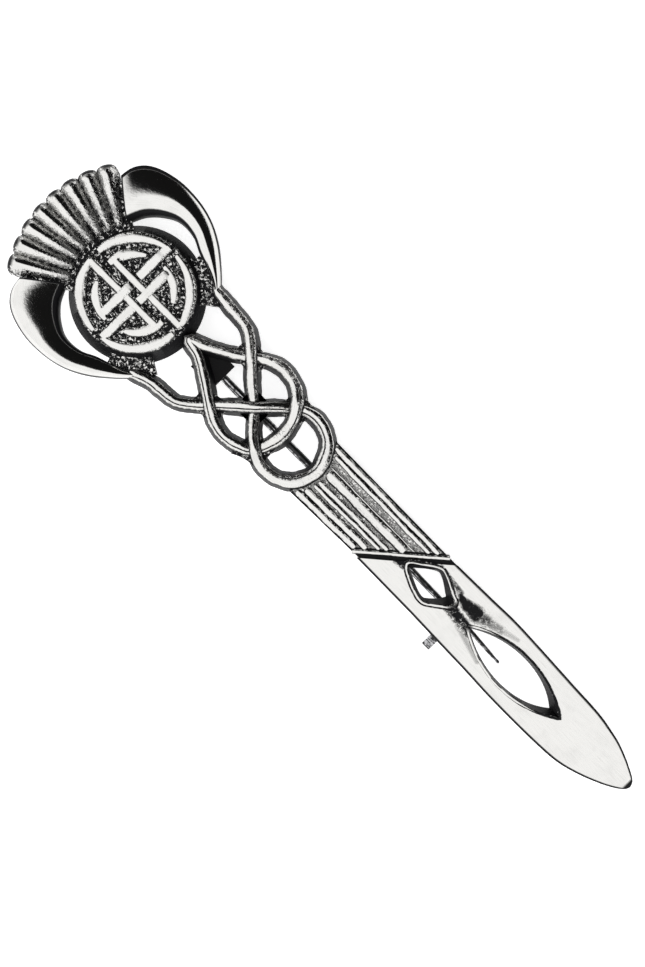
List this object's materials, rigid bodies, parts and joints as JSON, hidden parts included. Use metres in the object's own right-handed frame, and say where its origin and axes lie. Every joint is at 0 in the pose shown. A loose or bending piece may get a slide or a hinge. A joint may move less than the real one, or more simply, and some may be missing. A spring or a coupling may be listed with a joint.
{
  "type": "kilt pin",
  "caption": "Cast metal kilt pin shaped like a dirk, with a round knotwork head, an open knot, a pierced blade, and a hinged pin with a turning catch on its back.",
  "frame": {"origin": "under the middle of the object, on the surface that it lies on", "axes": "+X from the ribbed tuft to the blade's tip, +Y across the object on the side away from the catch's finger tab, +Z out of the front face"},
  "size_m": [0.1058, 0.0284, 0.0072],
  "materials": {
    "pewter": "polished faces, blackened recesses",
    "plated_steel": "satin",
    "dark_steel": "satin",
    "pin_steel": "polished"
  },
  "bodies": {
    "front": {"casting": "pewter", "joint_bracket": "plated_steel", "rivet": "dark_steel", "catch_housing": "plated_steel"},
    "pin": {"pin_stem": "pin_steel"},
    "catch": {"catch_lever": "dark_steel"}
  },
  "joints": [
    {"name": "pin_hinge", "type": "hinge", "parent": "front", "child": "pin", "pos_m": [-0.02301, 0.0003, 0.0016], "axis": [0, 1, 0], "range_deg": [0, 75]},
    {"name": "catch_turn", "type": "hinge", "parent": "front", "child": "catch", "pos_m": [0.02204, -0.00025, 0.0016], "axis": [1, 0, 0], "range_deg": [0, 180]}
  ]
}
